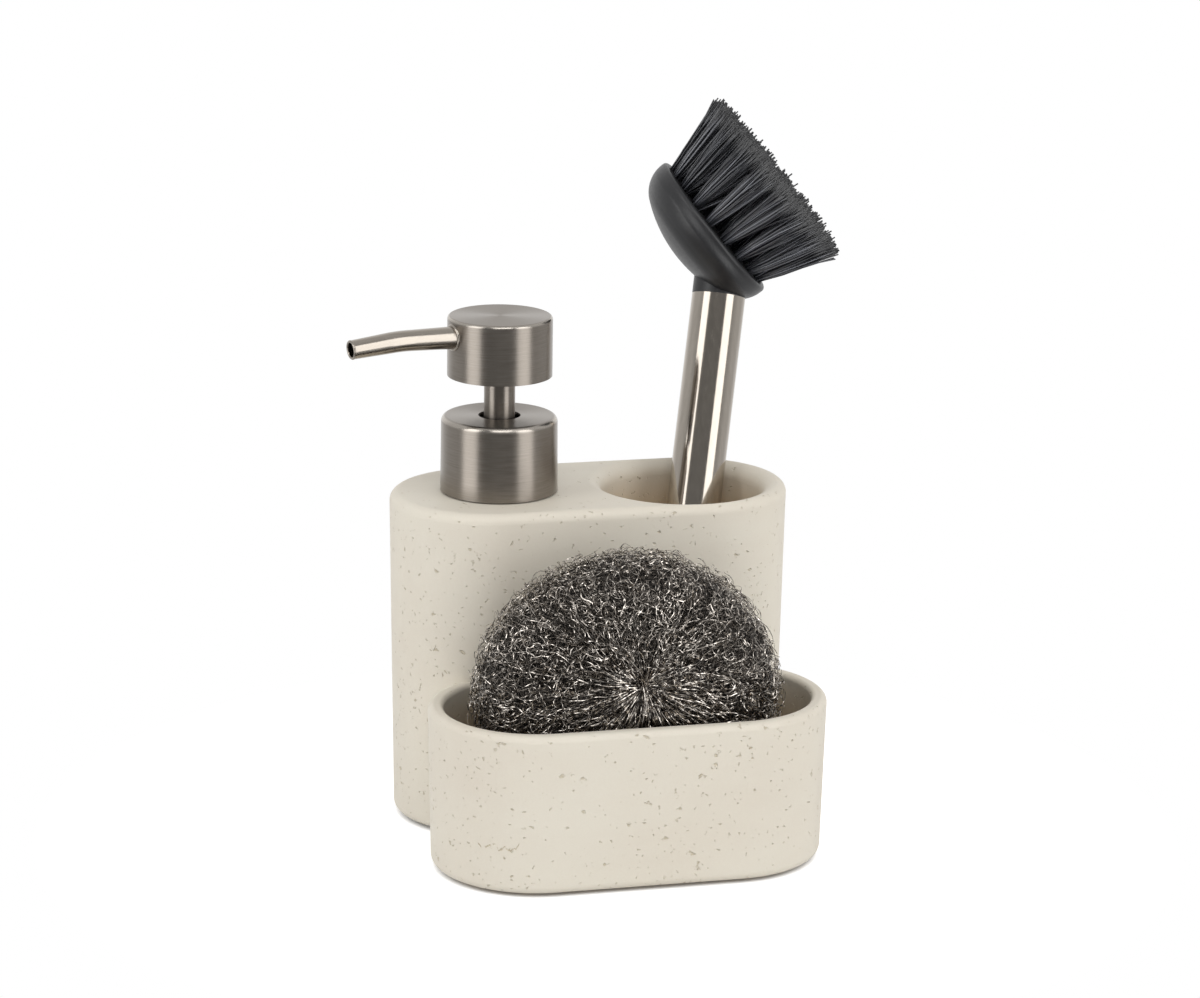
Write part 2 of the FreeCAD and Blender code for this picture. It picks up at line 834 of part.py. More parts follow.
def make_scourer():
    """Bun of knitted wire on its edge, with a drawn-in knot in the middle of each face."""
    radius = trough_length / 2 - trough_wall - scourer_end_gap
    front = trough_forward + trough_depth / 2 - trough_wall
    rear = block_depth / 2
    half = (front - rear) / 2 - scourer_side_gap

    def arc(shares, side):
        points = [vec(r * radius, 0, side * z * half) for r, z in shares]
        return Part.Arc(points[0], points[1], points[2]).toShape()

    edges = [arc(scourer_dimple_shares, 1), arc(scourer_face_shares, 1), arc(scourer_rim_shares, 1),
             arc(scourer_face_shares, -1), arc(scourer_dimple_shares, -1)]
    pole = scourer_dimple_shares[0][1] * half
    edges.append(Part.LineSegment(vec(0, 0, -pole), vec(0, 0, pole)).toShape())
    bun = Part.Face(Part.Wire(Part.sortEdges(edges)[0])).revolve(vec(0, 0, 0), up, 360)
    bun.rotate(vec(0, 0, 0), vec(1, 0, 0), 90)
    squash = FreeCAD.Matrix()
    squash.scale(1, 1, scourer_half_height / radius)
    bun = bun.transformGeometry(squash)
    bun.translate(vec(scourer_x, -(front + rear) / 2, floor_z + rest_gap + scourer_half_height))
    return bun


os.makedirs("parts", exist_ok=True)
export(make_caddy_body(), "caddy_body")
export(make_base_pad(), "base_pad")
export(make_neck_insert(), "neck_insert")
export(make_collar_shell(), "collar_shell")
export(make_collar_closure(), "collar_closure")
export(make_neck_gasket(), "neck_gasket")
export(make_pump_housing(), "pump_housing")
export(make_housing_cap(), "housing_cap")
export(make_ball_retainer(), "ball_retainer")
export(make_inlet_ball(), "inlet_ball")
export(make_dip_tube(), "dip_tube")
export(make_return_spring(), "return_spring")
export(make_piston(), "piston")
export(make_piston_stem(), "piston_stem")
export(make_stem_sleeve(), "stem_sleeve")
export(make_head_shell(), "head_shell")
export(make_actuator_insert(), "actuator_insert")
export(make_spout_tube(), "spout_tube")
export(make_handle_tube(), "handle_tube")
export(make_handle_end_cap(), "handle_end_cap")
export(make_brush_head(), "brush_head")
export(make_bristle_tufts(), "bristle_tufts")
export(make_tuft_anchors(), "tuft_anchors")
export(make_scourer(), "scourer")
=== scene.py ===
import math
import random

import bpy
import numpy as np
from mathutils import Matrix, Vector


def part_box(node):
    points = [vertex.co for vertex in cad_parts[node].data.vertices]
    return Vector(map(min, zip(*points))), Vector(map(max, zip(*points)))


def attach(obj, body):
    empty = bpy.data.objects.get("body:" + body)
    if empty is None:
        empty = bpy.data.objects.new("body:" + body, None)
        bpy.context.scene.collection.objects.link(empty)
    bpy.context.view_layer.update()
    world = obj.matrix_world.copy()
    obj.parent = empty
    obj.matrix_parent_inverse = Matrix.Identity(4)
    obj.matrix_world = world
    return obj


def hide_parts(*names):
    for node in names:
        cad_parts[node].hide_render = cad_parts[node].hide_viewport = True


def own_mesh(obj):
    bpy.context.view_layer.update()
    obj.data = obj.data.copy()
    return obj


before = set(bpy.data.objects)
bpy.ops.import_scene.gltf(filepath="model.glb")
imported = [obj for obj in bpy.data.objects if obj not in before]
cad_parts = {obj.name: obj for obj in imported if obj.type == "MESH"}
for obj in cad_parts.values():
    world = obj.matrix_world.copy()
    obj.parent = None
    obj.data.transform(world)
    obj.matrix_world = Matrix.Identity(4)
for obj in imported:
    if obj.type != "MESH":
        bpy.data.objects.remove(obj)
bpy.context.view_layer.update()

# Casting: one piece of cream stone-look resin, poured into a mould and rubbed smooth.
# Air left small pits all over it, some in level rows, stained tan, and a hairline crack low on its left.
# Inside its pockets the colour is painted warmer and darker further below the rim, as painted shade.
mm = 0.001
cream = (227, 221, 207)
warm_cream = (220, 211, 196)
# Painted shade: the warmer, darker colour laid inside the trough and the well.
pocket_shade_cream = (226, 204, 172)
pit_tan = (206, 194, 168)
pit_umber = (166, 146, 112)
crack_brown = (184, 166, 130)
stone_gloss = 0.3
stone_roughness = 0.55
stone_grain_scale = 1900.0
stone_grain_height = 0.05
stone_cloud_scale = 22.0
stone_cloud_span = (0.6, 1.3)
stone_streak_stretch = (10.0, 120.0, 120.0)
faint_share = 0.4
pit_least_share = 0.45
pit_slope_share = 0.55
pit_outline_scale = 620.0
pit_outline_shift = 3.2 * mm
pit_flatness = (0.7, 0.7, 1.0)
pit_crowd_scale = 45.0
pit_crowd_span = (0.4, 0.62)
pit_crowd_least = 0.5
pit_row_stretch = (22.0, 22.0, 230.0)
pit_row_span = (0.56, 0.66)
pit_roughness = 0.85
pit_depth = 0.55 * mm
pit_relief = 0.75
top_face_span = (0.5, 0.9)
top_pit_share = 0.35
row_pit_share = 0.45
coarse_pit_scale = 285.0
coarse_pit_radius = 0.18
coarse_pit_share = 0.9
coarse_pit_stain = 0.8
coarse_tint_span = (0.55, 1.0)
fine_pit_scale = 520.0
fine_pit_radius = 0.24
fine_pit_share = 0.85
fine_pit_stain = 0.65
fine_tint_span = (0.5, 1.0)
# The places of the crack and the pockets are in millimetres.
crack_ends = (-49.0, -39.0)
crack_height = 15.0
crack_wander = 9.0
crack_wave_scale = 0.45
crack_break_scale = 620.0
crack_break_span = (0.43, 0.53)
crack_width = 0.34
crack_front = -60.0
crack_stain = 0.7
crack_depth = 0.4
trough_middle = (0.0, -50.2)
trough_half_span = 27.75
trough_inner_radius = 27.4
trough_rim = 47.0
well_middle = (28.7, 0.0)
well_inner_radius = 25.5
well_rim = 98.0
pocket_shade_depth = 14.0


def srgb(colour):
    """Linear colour for a screen colour of 0 to 255."""
    shares = [value / 255 for value in colour]
    return [s / 12.92 if s < 0.04045 else ((s + 0.055) / 1.055) ** 2.4 for s in shares] + [1.0]


def put(tree, kind, inputs, **settings):
    """A shader node whose inputs are numbers, colours or the sockets of other nodes."""
    node = tree.nodes.new("ShaderNode" + kind)
    for name, value in settings.items():
        setattr(node, name, value)
    for key, value in inputs.items():
        if isinstance(value, bpy.types.NodeSocket):
            tree.links.new(value, node.inputs[key])
        else:
            node.inputs[key].default_value = value
    return node


def work_out(tree, operation, *values):
    """A number from other numbers."""
    return put(tree, "Math", dict(enumerate(values)), operation=operation).outputs[0]


def vector_of(tree, operation, *vectors):
    """A vector from other vectors, or a number where the operation gives one."""
    node = put(tree, "VectorMath", dict(enumerate(vectors)), operation=operation)
    return node.outputs["Value" if operation in ("LENGTH", "DOT_PRODUCT") else "Vector"]


def ramp(tree, value, low, high, low_out=0.0, high_out=1.0):
    """A value mapped from one span to another and held at the ends."""
    inputs = {"Value": value, "From Min": low, "From Max": high, "To Min": low_out, "To Max": high_out}
    return put(tree, "MapRange", inputs).outputs[0]


def mixed(tree, share, one, two):
    """Mix of two colours."""
    return put(tree, "Mix", {0: share, 6: one, 7: two}, data_type="RGBA").outputs[2]


def speckle(tree, vector, scale, detail=2.0):
    """Plain noise value."""
    return put(tree, "TexNoise", {"Vector": vector, "Scale": scale, "Detail": detail}).outputs[0]


def object_place(tree):
    """Where a point lies in the shared frame."""
    return put(tree, "TexCoord", {}).outputs["Object"]


def parts_of(tree, vector):
    """The three coordinates of a vector."""
    return put(tree, "SeparateXYZ", {0: vector}).outputs


def in_millimetres(tree, place):
    """The three coordinates of a point in millimetres."""
    return [work_out(tree, "DIVIDE", axis, mm) for axis in parts_of(tree, place)]


def upward(tree):
    """How far a face looks up, from -1 to 1."""
    return parts_of(tree, put(tree, "NewGeometry", {}).outputs["Normal"])[2]


def stretched(tree, vector, scale):
    """A vector with its own scale along each axis."""
    return put(tree, "Mapping", {"Vector": vector, "Scale": scale}).outputs[0]


def emboss(tree, shader, height, relief, depth):
    """Raises and sinks the surface by a height value."""
    bump = put(tree, "Bump", {"Height": height, "Strength": relief, "Distance": depth})
    tree.links.new(bump.outputs[0], shader.inputs["Normal"])


def new_group(name, inputs, outputs):
    """An empty shader group with its two end nodes."""
    group = bpy.data.node_groups.new(name, "ShaderNodeTree")
    for socket, kind in inputs.items():
        group.interface.new_socket(socket, in_out="INPUT", socket_type="NodeSocket" + kind)
    for socket in outputs:
        group.interface.new_socket(socket, in_out="OUTPUT", socket_type="NodeSocketFloat")
    return group, group.nodes.new("NodeGroupInput").outputs, group.nodes.new("NodeGroupOutput").inputs


def new_finish(name, constants):
    """A material with its constant values set on the shader itself."""
    material = bpy.data.materials.new(name)
    material.use_nodes = True
    shader = material.node_tree.nodes["Principled BSDF"]
    for socket, value in constants.items():
        shader.inputs[socket].default_value = value
    return material, material.node_tree, shader


def dress(name, material):
    """Gives a carried-over part its finish."""
    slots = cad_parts[name].data.materials
    slots.clear()
    slots.append(material)


def make_pit_group():
    """Round pits in a share of the cells: how deep a point lies in one, and a random tint for each."""
    inputs = {"Vector": "Vector", "Scale": "Float", "Share": "Float", "Radius": "Float"}
    group, given, result = new_group("air pits", inputs, ("Depth", "Tint"))
    cell = put(group, "TexVoronoi", {"Vector": given["Vector"], "Scale": given["Scale"]})
    lot = put(group, "SeparateColor", {"Color": cell.outputs["Color"]}).outputs
    chosen = work_out(group, "GREATER_THAN", work_out(group, "ADD", lot[0], given["Share"]), 1.0)
    size = ramp(group, lot[1], 0.0, 1.0, pit_least_share, 1.0)
    reach = work_out(group, "MULTIPLY", work_out(group, "MULTIPLY", given["Radius"], size), chosen)
    inside = work_out(group, "SUBTRACT", reach, cell.outputs["Distance"])
    slope = work_out(group, "MULTIPLY", given["Radius"], pit_slope_share)
    depth = put(group, "Clamp", {"Value": work_out(group, "DIVIDE", inside, slope)}).outputs[0]
    group.links.new(depth, result["Depth"])
    group.links.new(lot[2], result["Tint"])
    return group


def crack_mask(tree, place):
    """A short broken hairline that wanders along the front wall."""
    x, y, z = in_millimetres(tree, place)
    line = put(tree, "CombineXYZ", {0: x}).outputs[0]
    wave = work_out(tree, "SUBTRACT", speckle(tree, line, crack_wave_scale), 0.5)
    level = work_out(tree, "MULTIPLY_ADD", wave, crack_wander, crack_height)
    off_line = work_out(tree, "ABSOLUTE", work_out(tree, "SUBTRACT", z, level))
    left, right = crack_ends
    past_left = work_out(tree, "SUBTRACT", left, x)
    past_right = work_out(tree, "SUBTRACT", x, right)
    beyond = work_out(tree, "MAXIMUM", past_left, past_right)
    near = ramp(tree, work_out(tree, "MAXIMUM", off_line, beyond), crack_width, crack_width / 3)
    broken = ramp(tree, speckle(tree, place, crack_break_scale, 3.0), *crack_break_span)
    near = work_out(tree, "MULTIPLY", near, broken)
    return work_out(tree, "MULTIPLY", near, work_out(tree, "LESS_THAN", y, crack_front))


def pocket_shade_mask(tree, place, middle, half_span, radius, rim):
    """How far down inside a pocket with round ends a point lies, for the painted shade there."""
    x, y, z = in_millimetres(tree, place)
    aside = work_out(tree, "ABSOLUTE", work_out(tree, "SUBTRACT", x, middle[0]))
    past = work_out(tree, "MAXIMUM", work_out(tree, "SUBTRACT", aside, half_span), 0.0)
    arm = put(tree, "CombineXYZ", {0: past, 1: work_out(tree, "SUBTRACT", y, middle[1])}).outputs[0]
    inside = work_out(tree, "LESS_THAN", vector_of(tree, "LENGTH", arm), radius)
    return work_out(tree, "MULTIPLY", inside, ramp(tree, z, rim, rim - pocket_shade_depth))


def make_cast_stone():
    """Cream resin with faint clouds and streaks, stained pits, and painted shade, warmer and darker, down in
    its pockets.
    """
    material, tree, shader = new_finish("cast stone", {"Specular IOR Level": stone_gloss})
    place = object_place(tree)
    noise = {"Vector": place, "Scale": pit_outline_scale, "Detail": 2.0}
    wobble = put(tree, "TexNoise", noise).outputs["Color"]
    shift = vector_of(tree, "SUBTRACT", wobble, (0.5, 0.5, 0.5))
    shift = vector_of(tree, "MULTIPLY", shift, (pit_outline_shift,) * 3)
    ragged = vector_of(tree, "ADD", place, shift)

    upright = ramp(tree, upward(tree), *top_face_span, 1.0, top_pit_share)
    crowd = ramp(tree, speckle(tree, place, pit_crowd_scale), *pit_crowd_span, pit_crowd_least, 1.0)
    crowd = work_out(tree, "MULTIPLY", crowd, upright)
    rows = ramp(tree, speckle(tree, stretched(tree, place, pit_row_stretch), 1.0), *pit_row_span)
    rows = work_out(tree, "MULTIPLY", rows, upright)
    coarse_share = work_out(tree, "MULTIPLY", crowd, coarse_pit_share)
    fine_share = work_out(tree, "MULTIPLY", crowd, fine_pit_share)
    fine_share = work_out(tree, "ADD", fine_share, work_out(tree, "MULTIPLY", rows, row_pit_share))
    pits = make_pit_group()
    coarse_inputs = {"Vector": stretched(tree, ragged, pit_flatness), "Scale": coarse_pit_scale,
                     "Share": coarse_share, "Radius": coarse_pit_radius}
    fine_inputs = {"Vector": ragged, "Scale": fine_pit_scale, "Share": fine_share, "Radius": fine_pit_radius}
    coarse = put(tree, "Group", coarse_inputs, node_tree=pits).outputs
    fine = put(tree, "Group", fine_inputs, node_tree=pits).outputs
    crack = crack_mask(tree, place)

    grain = speckle(tree, place, stone_grain_scale)
    streaks = speckle(tree, stretched(tree, place, stone_streak_stretch), 1.0)
    clouds = speckle(tree, place, stone_cloud_scale, 4.0)
    for faint in (streaks, grain):
        clouds = work_out(tree, "ADD", clouds, work_out(tree, "MULTIPLY", faint, faint_share))
    body = mixed(tree, ramp(tree, clouds, *stone_cloud_span), srgb(cream), srgb(warm_cream))
    # Painted shade, deepening below the rims of the trough and the well.
    trough_shade = pocket_shade_mask(tree, place, trough_middle, trough_half_span, trough_inner_radius, trough_rim)
    well_shade = pocket_shade_mask(tree, place, well_middle, 0.0, well_inner_radius, well_rim)
    body = mixed(tree, work_out(tree, "MAXIMUM", trough_shade, well_shade), body, srgb(pocket_shade_cream))
    coarse_tint = mixed(tree, ramp(tree, coarse["Tint"], *coarse_tint_span), srgb(pit_tan), srgb(pit_umber))
    fine_tint = mixed(tree, ramp(tree, fine["Tint"], *fine_tint_span), srgb(pit_tan), srgb(pit_umber))
    for mask, stain, tint in ((coarse["Depth"], coarse_pit_stain, coarse_tint),
                              (fine["Depth"], fine_pit_stain, fine_tint),
                              (crack, crack_stain, srgb(crack_brown))):
        body = mixed(tree, work_out(tree, "MULTIPLY", mask, stain), body, tint)
    tree.links.new(body, shader.inputs["Base Color"])
    hollow = work_out(tree, "MAXIMUM", fine["Depth"], work_out(tree, "MULTIPLY", crack, crack_depth))
    hollow = work_out(tree, "MAXIMUM", coarse["Depth"], hollow)
    dull = ramp(tree, hollow, 0.0, 1.0, stone_roughness, pit_roughness)
    tree.links.new(dull, shader.inputs["Roughness"])
    height = work_out(tree, "SUBTRACT", work_out(tree, "MULTIPLY", grain, stone_grain_height), hollow)
    emboss(tree, shader, height, pit_relief, pit_depth)
    return material


dress("caddy_body", make_cast_stone())

# Base pad: a thin sheet of grey foam rubber, die-cut and stuck under the casting against slipping.
# Moulded and foamed faces share one fine grain, which stands a little proud and varies tone and gloss.
pad_grey = (92, 90, 87)
noise_span = (0.3, 0.7)
moulded_shade = 0.86
moulded_relief = 0.5
moulded_gloss_spread = 0.05


def make_grain_group():
    """Fine grain of a moulded face."""
    group, given, result = new_group("moulded grain", {"Scale": "Float"}, ("Grain",))
    noise = {"Vector": object_place(group), "Scale": given["Scale"], "Detail": 3.0, "Roughness": 0.6}
    group.links.new(put(group, "TexNoise", noise).outputs[0], result["Grain"])
    return group


moulded_grain = make_grain_group()


def make_moulded(name, colour, roughness, scale, proud, clearness=0.0):
    """Plastic or rubber of one colour, with grain in its tone, gloss and surface."""
    material, tree, shader = new_finish(name, {"Transmission Weight": clearness})
    grain = put(tree, "Group", {"Scale": scale}, node_tree=moulded_grain).outputs["Grain"]
    shaded = [channel * moulded_shade for channel in colour]
    tree.links.new(mixed(tree, grain, srgb(shaded), srgb(colour)), shader.inputs["Base Color"])
    least = roughness - moulded_gloss_spread
    most = roughness + moulded_gloss_spread
    tree.links.new(ramp(tree, grain, *noise_span, least, most), shader.inputs["Roughness"])
    emboss(tree, shader, grain, moulded_relief, proud)
    return material


dress("base_pad", make_moulded("pad foam", pad_grey, roughness=0.85, scale=2200.0, proud=0.1 * mm))

# Neck and pump insides: white and milky polypropylene mouldings, and a soft seal.
# The guide ring at the top of the housing and the core of the head are moulded dark.
# The neck is glued into the casting, and the housing hangs in it by its flange.
plastic_white = (226, 226, 222)
plastic_milky = (212, 216, 216)
plastic_dark = (46, 45, 44)
seal_grey = (200, 199, 194)

white_moulded = make_moulded("white plastic", plastic_white, roughness=0.38, scale=900.0, proud=0.02 * mm)
milky_moulded = make_moulded("milky plastic", plastic_milky, roughness=0.3, scale=700.0, proud=0.01 * mm,
                             clearness=0.35)
dark_moulded = make_moulded("dark plastic", plastic_dark, roughness=0.4, scale=900.0, proud=0.02 * mm)
for inner_part in ("neck_insert", "collar_closure", "ball_retainer", "piston", "piston_stem"):
    dress(inner_part, white_moulded)
for inner_part in ("pump_housing", "dip_tube"):
    dress(inner_part, milky_moulded)
for inner_part in ("housing_cap", "actuator_insert"):
    dress(inner_part, dark_moulded)
dress("neck_gasket", make_moulded("seal rubber", seal_grey, roughness=0.7, scale=1500.0, proud=0.03 * mm))

# Pump collar, sleeve and head: drawn stainless steel, turned while it was brushed,
# so that fine lines run round the axis and stretch its reflections upright.
# The rounded edges are made glossier, and their colour is painted brighter as a painted highlight.
satin_light = (152, 145, 137)
satin_dark = (137, 130, 122)
satin_edge_highlight = (186, 179, 170)
satin_stretch = 0.75
satin_quarter_turn = 0.25
satin_lines = 2600.0
satin_line_run = 1.6
satin_relief = 0.1
edge_gloss_share = 0.25
edge_side_span = (0.1, 0.45)
edge_top_span = (0.96, 0.8)


def make_turned_group():
    """Fine lines that run round an upright axis."""
    group, given, result = new_group("turned lines", {"Axis": "Vector", "Lines": "Float"}, ("Line",))
    x, y, z = parts_of(group, vector_of(group, "SUBTRACT", object_place(group), given["Axis"]))
    radius = vector_of(group, "LENGTH", put(group, "CombineXYZ", {0: x, 1: y}).outputs[0])
    across = work_out(group, "MULTIPLY", work_out(group, "ADD", z, radius), given["Lines"])
    around = work_out(group, "MULTIPLY", work_out(group, "ARCTAN2", y, x), satin_line_run)
    run = put(group, "CombineXYZ", {0: around, 1: across}).outputs[0]
    noise = {"Vector": run, "Scale": 1.0, "Detail": 4.0, "Roughness": 0.75}
    line = put(group, "TexNoise", noise, noise_dimensions="2D").outputs[0]
    group.links.new(line, result["Line"])
    return group


turned_lines = make_turned_group()
pump_low, pump_high = (Vector(corner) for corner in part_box("collar_shell"))
pump_axis = (pump_low + pump_high) / 2


def make_satin_steel(name, roughness, spread, groove):
    """Steel with turned lines in its tone, gloss and surface, glossier along rounded edges, where a painted
    highlight brightens the colour.
    """
    constants = {"Metallic": 1.0, "Anisotropic": satin_stretch, "Anisotropic Rotation": satin_quarter_turn}
    material, tree, shader = new_finish(name, constants)
    inputs = {"Axis": pump_axis, "Lines": satin_lines}
    line = put(tree, "Group", inputs, node_tree=turned_lines).outputs["Line"]
    tone = mixed(tree, ramp(tree, line, *noise_span), srgb(satin_dark), srgb(satin_light))
    facing = upward(tree)
    # Painted highlight: rounded edges that face partly upward get a brighter colour.
    edge_highlight = ramp(tree, facing, *edge_side_span)
    edge_highlight = work_out(tree, "MULTIPLY", edge_highlight, ramp(tree, facing, *edge_top_span))
    tree.links.new(mixed(tree, edge_highlight, tone, srgb(satin_edge_highlight)), shader.inputs["Base Color"])
    dull = ramp(tree, line, *noise_span, roughness - spread, roughness + spread)
    rubbed = work_out(tree, "MULTIPLY", edge_highlight, roughness * edge_gloss_share)
    tree.links.new(work_out(tree, "SUBTRACT", dull, rubbed), shader.inputs["Roughness"])
    emboss(tree, shader, line, satin_relief, groove)
    tangent = put(tree, "Tangent", {}, direction_type="RADIAL", axis="Z")
    tree.links.new(tangent.outputs[0], shader.inputs["Tangent"])
    return material


satin_steel = make_satin_steel("satin steel", roughness=0.34, spread=0.05, groove=0.03 * mm)
for pump_shell in ("collar_shell", "head_shell"):
    dress(pump_shell, satin_steel)
dress("stem_sleeve", make_satin_steel("sleeve steel", roughness=0.36, spread=0.02, groove=0.004 * mm))

# Spout, brush handle, valve ball, spring and tuft plates: bright steel, polished and only faintly streaked.
# The spout is pressed into the head; the handle is a seamed tube that was polished on a belt.
bright_light = (190, 182, 172)
bright_dark = (172, 164, 154)
spout_light = (178, 170, 160)
spout_dark = (160, 152, 143)
handle_streaks = (900.0, 900.0, 60.0)
spout_streaks = (60.0, 900.0, 900.0)
spring_streaks = (700.0, 700.0, 700.0)
handle_roughness = 0.12
spout_roughness = 0.2
spring_roughness = 0.3
bright_gloss_share = 0.2


def make_bright_steel(name, dark, light, roughness, streaks):
    """Polished steel with faint streaks in its tone and gloss."""
    material, tree, shader = new_finish(name, {"Metallic": 1.0})
    line = speckle(tree, stretched(tree, object_place(tree), streaks), 1.0, 4.0)
    tree.links.new(mixed(tree, line, srgb(dark), srgb(light)), shader.inputs["Base Color"])
    least = roughness * (1 - bright_gloss_share)
    most = roughness * (1 + bright_gloss_share)
    tree.links.new(ramp(tree, line, *noise_span, least, most), shader.inputs["Roughness"])
    return material


handle_steel = make_bright_steel("polished steel", bright_dark, bright_light,
                                 handle_roughness, handle_streaks)
spout_steel = make_bright_steel("spout steel", spout_dark, spout_light,
                                spout_roughness, spout_streaks)
spring_steel = make_bright_steel("spring steel", bright_dark, bright_light,
                                 spring_roughness, spring_streaks)
dress("handle_tube", handle_steel)
dress("spout_tube", spout_steel)
for small_part in ("return_spring", "inlet_ball", "tuft_anchors"):
    dress(small_part, spring_steel)

# Spout joint and lip: a thin bead of solder where the spout enters the head, polished over with it,
# along the curve in which the round spout meets the round head.
# The tube's cut end is rolled to a smooth lip.
full_turn = 2 * math.pi
bead_radius = 0.55 * mm
lip_radius = 0.4 * mm
lip_ring_radius = 2.5 * mm
bead_steps = 72
bead_sides = 10
spout_heading = math.radians(194.0)
spout_fall = math.radians(4.2)
spout_drop = 5.3 * mm
spout_radius = 3.45 * mm
rim_tolerance = 0.01 * mm


def new_piece(name, points, faces, material, body, smooth):
    """A mesh that rides on a body."""
    mesh = bpy.data.meshes.new(name)
    mesh.from_pydata(points, [], faces)
    mesh.polygons.foreach_set("use_smooth", [smooth] * len(mesh.polygons))
    mesh.materials.append(material)
    piece = bpy.data.objects.new(name, mesh)
    bpy.context.scene.collection.objects.link(piece)
    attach(piece, body)
    return piece


def add_bead(name, heart, out, ring_radius, radius, reach):
    """A round bead that runs once round the spout, as far out at each turn as reach says."""
    aside = Vector((-out.y, out.x, 0.0)).normalized()
    lift = out.cross(aside)
    points, faces = [], []
    for step in range(bead_steps):
        turn = step * full_turn / bead_steps
        arm = aside * math.cos(turn) + lift * math.sin(turn)
        centre = heart + arm * ring_radius + out * reach(turn)
        for corner in range(bead_sides):
            lean = corner * full_turn / bead_sides
            points.append(centre + (out * math.cos(lean) + arm * math.sin(lean)) * radius)
            ahead = (step + 1) % bead_steps
            beside = (corner + 1) % bead_sides
            faces.append((step * bead_sides + corner, ahead * bead_sides + corner,
                          ahead * bead_sides + beside, step * bead_sides + beside))
    new_piece(name, points, faces, spout_steel, "head", True)


def on_head(turn):
    """How far from the pump's axis the spout's side meets the head."""
    return math.sqrt(head_radius ** 2 - (spout_radius * math.cos(turn)) ** 2)


def at_tip(turn):
    """The lip lies flat on the tube's end."""
    return 0.0


head_low, head_high = (Vector(corner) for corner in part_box("head_shell"))
head_radius = (head_high.x - head_low.x) / 2
spout_out = Vector((math.cos(spout_heading), math.sin(spout_heading), 0.0))
spout_root = Vector((pump_axis.x, pump_axis.y, head_high.z - spout_drop))
add_bead("spout_bead", spout_root, spout_out, spout_radius, bead_radius, on_head)
tip_out = spout_out * math.cos(spout_fall) - Vector((0.0, 0.0, math.sin(spout_fall)))
spout_places = [vertex.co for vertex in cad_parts["spout_tube"].data.vertices]
tip_reach = max(place.dot(tip_out) for place in spout_places)
tip_rim = [place for place in spout_places if place.dot(tip_out) > tip_reach - rim_tolerance]
tip_middle = Vector([(min(axis) + max(axis)) / 2 for axis in zip(*tip_rim)])
add_bead("spout_lip", tip_middle, tip_out, lip_ring_radius, lip_radius, at_tip)

# Return spring: round wire wound into a coil under the piston, which squeezes it when the head is pressed.
# It stands on the ball retainer in the housing; the coil is built at one length and rides with the pump.
spring_radius = 3.7 * mm
spring_wire_radius = 0.4 * mm
spring_turns = 8
spring_steps = 24
spring_sides = 8


def make_spring():
    """One even coil, as high as the spring's place in the housing."""
    low, high = (Vector(corner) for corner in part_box("return_spring"))
    foot = low.z + spring_wire_radius
    climb = high.z - low.z - 2 * spring_wire_radius
    rings = spring_turns * spring_steps + 1
    points, faces = [], []
    for ring in range(rings):
        turn = ring * full_turn / spring_steps
        arm = Vector((math.cos(turn), math.sin(turn), 0.0))
        centre = Vector((pump_axis.x, pump_axis.y, foot + climb * ring / (rings - 1))) + arm * spring_radius
        for corner in range(spring_sides):
            lean = corner * full_turn / spring_sides
            outward = arm * math.cos(lean) + Vector((0.0, 0.0, math.sin(lean)))
            points.append(centre + outward * spring_wire_radius)
    for ring in range(rings - 1):
        for corner in range(spring_sides):
            one = ring * spring_sides + corner
            two = ring * spring_sides + (corner + 1) % spring_sides
            faces.append((one, one + spring_sides, two + spring_sides, two))
    faces.append(tuple(range(spring_sides)))
    faces.append(tuple(range(len(points) - 1, len(points) - 1 - spring_sides, -1)))
    coil = new_piece("spring_coil", points, faces, spring_steel, "pump", True)
    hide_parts("return_spring")
    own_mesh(coil)


make_spring()

# Brush head and foot plug: black polypropylene with a satin moulded face.
# The head is moulded in one with its neck, pushed into the tube and drilled for the tufts,
# and a soft ridge runs round it a little behind the face.
head_black = (42, 42, 44)
plug_black = (33, 33, 34)
ridge_depth = 4.6 * mm
ridge_foot = 8.5 * mm
ridge_height = 0.9 * mm
ridge_back_share = 0.5


def islands(mesh):
    """Vertex positions of each separate solid in a mesh."""
    parent = list(range(len(mesh.vertices)))

    def root(index):
        while parent[index] != index:
            parent[index] = parent[parent[index]]
            index = parent[index]
        return index

    for edge in mesh.edges:
        one, two = (root(index) for index in edge.vertices)
        parent[one] = two
    found = {}
    for vertex in mesh.vertices:
        found.setdefault(root(vertex.index), []).append(vertex.co)
    return [np.array(points) for points in found.values()]


def add_ridge(material):
    """Bends the light along the ridge by its depth behind the face."""
    tree = material.node_tree
    shader = tree.nodes["Principled BSDF"]
    along = vector_of(tree, "DOT_PRODUCT", object_place(tree), face_axis)
    depth = work_out(tree, "SUBTRACT", face_level, along)
    span = {"Value": depth, "From Min": ridge_depth / 3, "From Max": ridge_depth}
    rise = put(tree, "MapRange", span, interpolation_type="SMOOTHSTEP").outputs[0]
    fall = ramp(tree, depth, ridge_depth, ridge_foot, 0.0, ridge_back_share)
    grain = shader.inputs["Normal"].links[0].from_socket
    bump = put(tree, "Bump", {"Height": work_out(tree, "SUBTRACT", rise, fall), "Strength": 1.0,
                              "Distance": ridge_height, "Normal": grain})
    tree.links.new(bump.outputs[0], shader.inputs["Normal"])
    return material


tuft_plates = [points.mean(axis=0) for points in islands(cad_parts["tuft_anchors"].data)]
tuft_solids = islands(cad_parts["bristle_tufts"].data)
tuft_heart = np.mean([points.mean(axis=0) for points in tuft_solids], axis=0)
face_axis = Vector(tuft_heart - np.mean(tuft_plates, axis=0)).normalized()
face_level = max(vertex.co.dot(face_axis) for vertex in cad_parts["brush_head"].data.vertices)
head_moulded = make_moulded("brush head plastic", head_black, roughness=0.4, scale=1400.0, proud=0.02 * mm)
plug_moulded = make_moulded("black plastic", plug_black, roughness=0.4, scale=1400.0, proud=0.02 * mm)
dress("brush_head", add_ridge(head_moulded))
dress("handle_end_cap", plug_moulded)

